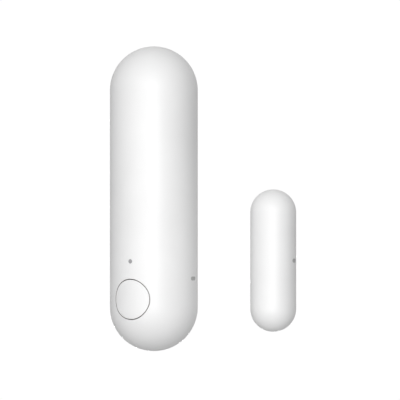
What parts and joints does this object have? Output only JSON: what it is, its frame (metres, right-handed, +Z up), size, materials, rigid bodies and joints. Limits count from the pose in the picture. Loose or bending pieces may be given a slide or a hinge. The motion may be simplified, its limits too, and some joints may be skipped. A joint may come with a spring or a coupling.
{
  "type": "door contact sensor",
  "caption": "Wireless door contact sensor with a round-ended white shell, a flush push button and status light, and a smaller matching magnet that it senses.",
  "frame": {"origin": "centre of the outer face of the sensor's adhesive pad, on the wall plane", "axes": "+Y from the front towards the wall, +Z up along the sensor's length, +X to the right seen from the front, towards the magnet"},
  "size_m": [0.0617, 0.0232, 0.095],
  "materials": {
    "shell": "satin",
    "button": "satin",
    "light_pipe": "satin",
    "rear_cover": "satin",
    "adhesive_pad": "matte",
    "foam": "matte",
    "carrier": "matte",
    "screw": "satin",
    "board": "satin",
    "module_board": "satin",
    "dark_plastic": "matte",
    "switch_cover": "satin",
    "plated": "satin",
    "led": "gloss",
    "capacitor": "satin",
    "resistor": "satin",
    "antenna": "satin",
    "reed_glass": "gloss",
    "reed_metal": "satin",
    "cell_can": "satin",
    "cell_sleeve": "gloss",
    "cell_roll": "matte",
    "bar_magnet": "satin"
  },
  "bodies": {
    "wall_plate": {"rear_cover": "rear_cover", "sensor_adhesive_pad": "adhesive_pad", "cell_foam_pad": "foam"},
    "sensor_body": {"front_shell": "shell", "light_pipe": "light_pipe", "battery_carrier": "carrier", "chassis_screws": "screw", "circuit_board": "board", "tact_switch_base": "dark_plastic", "tact_switch_cover": "switch_cover", "tact_switch_dome": "plated", "tact_switch_terminals": "plated", "status_led": "led", "microcontroller": "dark_plastic", "chip_capacitors": "capacitor", "chip_resistors": "resistor", "voltage_regulator": "dark_plastic", "radio_module_board": "module_board", "radio_shield": "plated", "transceiver_chip": "dark_plastic", "crystal": "plated", "antenna": "antenna", "reed_glass": "reed_glass", "reed_fixed_lead": "reed_metal", "reed_moving_lead": "reed_metal", "positive_contact": "plated", "negative_contact": "plated", "negative_spring": "plated"},
    "battery": {"cell_can": "cell_can", "cell_sleeve": "cell_sleeve", "cell_gasket": "dark_plastic", "cell_positive_cap": "plated", "cell_electrode_roll": "cell_roll"},
    "button": {"button_cap": "button"},
    "plunger": {"tact_switch_plunger": "dark_plastic"},
    "reed_blade": {"reed_moving_blade": "reed_metal"},
    "magnet": {"magnet_shell": "shell", "magnet_rear_cover": "rear_cover", "bar_magnet": "bar_magnet", "magnet_adhesive_pad": "adhesive_pad"}
  },
  "joints": [
    {"name": "body_release", "type": "slide", "parent": "wall_plate", "child": "sensor_body", "axis": [0, -1, 0], "range_m": [0, 0.045]},
    {"name": "battery_out", "type": "slide", "parent": "sensor_body", "child": "battery", "axis": [0, 1, 0], "range_m": [0, 0.0225], "deforming": ["negative_spring"]},
    {"name": "button_press", "type": "slide", "parent": "sensor_body", "child": "button", "axis": [0, 1, 0], "range_m": [0, 0.0003], "stiffness_N_per_m": 5000},
    {"name": "plunger_press", "type": "slide", "parent": "sensor_body", "child": "plunger", "axis": [0, 1, 0], "range_m": [0, 0.0003], "deforming": ["tact_switch_dome"]},
    {"name": "reed_flex", "type": "hinge", "parent": "sensor_body", "child": "reed_blade", "pos_m": [0.008, -0.012, -0.02095], "axis": [-1, 0, 0], "range_deg": [0, 0.35], "stiffness_Nm_per_rad": 0.0008},
    {"name": "magnet_slide", "type": "slide", "parent": "wall_plate", "child": "magnet", "axis": [1, 0, 0], "range_m": [-0.014, 0.06]}
  ],
  "couplings": [
    {"joint": "battery_out", "follows": "body_release", "ratio": 0.5},
    {"joint": "plunger_press", "follows": "button_press", "ratio": 1}
  ]
}
